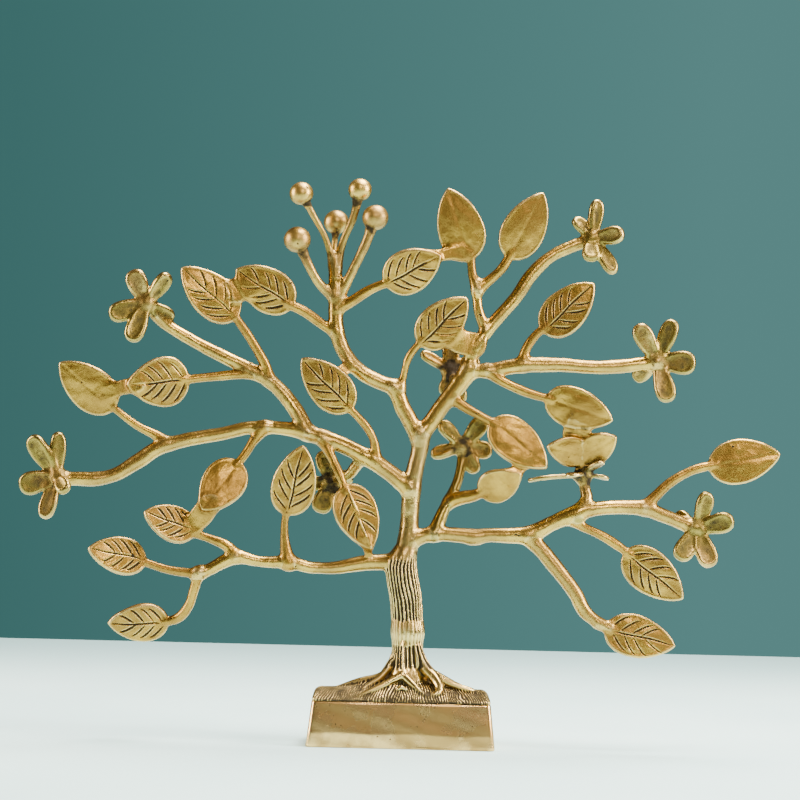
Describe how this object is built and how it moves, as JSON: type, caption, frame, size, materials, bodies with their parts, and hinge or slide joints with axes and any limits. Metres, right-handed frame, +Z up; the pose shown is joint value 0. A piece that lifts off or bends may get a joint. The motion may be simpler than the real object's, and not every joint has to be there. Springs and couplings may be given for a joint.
{
  "type": "tree of life ornament",
  "caption": "Cast brass tree of life on a low tapered plinth, with a grooved trunk, spreading limbs, leaves, open flowers and berries, made to stand on a table or shelf.",
  "frame": {"origin": "on the table under the middle of the tree: the centre of the bounding box's underside", "axes": "+X along the tree's spread, to the viewer's right; +Y away from the viewer; +Z up"},
  "size_m": [0.3798, 0.044, 0.282],
  "materials": {
    "plinth_brass": "filed and buffed to a cloudy mirror, pale edges, a few casting pits",
    "root_brass": "hatched casting, bright on the high lines, black oxide in the grooves",
    "trunk_brass": "satin with deep dark grooves and a filed joint band",
    "limb_brass": "buffed by hand over an uneven casting, small pits, dark at the brazed joints",
    "leaf_brass": "satin blades with bright rims and dark engraved veins",
    "flower_brass": "satin with a greenish patina and dark hollows",
    "berry_brass": "buffed balls, dark where they meet the stalk"
  },
  "bodies": {
    "root": {"plinth": "plinth_brass", "root_casting": "root_brass", "trunk": "trunk_brass", "limb_berry": "limb_brass", "limb_drooping": "limb_brass", "limb_far_right": "limb_brass", "limb_left_branch": "limb_brass", "limb_lower_left": "limb_brass", "limb_lower_right": "limb_brass", "limb_middle": "limb_brass", "limb_right_fork": "limb_brass", "limb_twin_stem": "limb_brass", "limb_upper_left": "limb_brass", "limb_upper_right": "limb_brass", "leaf_berry_1": "leaf_brass", "leaf_berry_2": "leaf_brass", "leaf_drooping_1": "leaf_brass", "leaf_far_right_1": "leaf_brass", "leaf_far_right_2": "leaf_brass", "leaf_left_branch_1": "leaf_brass", "leaf_left_branch_2": "leaf_brass", "leaf_lower_left_1": "leaf_brass", "leaf_lower_left_2": "leaf_brass", "leaf_lower_left_3": "leaf_brass", "leaf_lower_left_4": "leaf_brass", "leaf_lower_right_1": "leaf_brass", "leaf_lower_right_2": "leaf_brass", "leaf_lower_right_3": "leaf_brass", "leaf_lower_right_4": "leaf_brass", "leaf_lower_right_5": "leaf_brass", "leaf_middle_1": "leaf_brass", "leaf_right_fork_1": "leaf_brass", "leaf_twin_stem_1": "leaf_brass", "leaf_twin_stem_2": "leaf_brass", "leaf_upper_left_1": "leaf_brass", "leaf_upper_left_2": "leaf_brass", "leaf_upper_left_3": "leaf_brass", "leaf_upper_left_4": "leaf_brass", "flower_behind_fork": "flower_brass", "flower_behind_left": "flower_brass", "flower_behind_middle": "flower_brass", "flower_far_right": "flower_brass", "flower_left_branch": "flower_brass", "flower_lower_right": "flower_brass", "flower_lower_right_stalk": "flower_brass", "flower_upper_left": "flower_brass", "flower_upper_right": "flower_brass", "berry_1": "berry_brass", "berry_2": "berry_brass", "berry_3": "berry_brass", "berry_4": "berry_brass", "berry_5": "berry_brass"}
  },
  "joints": []
}
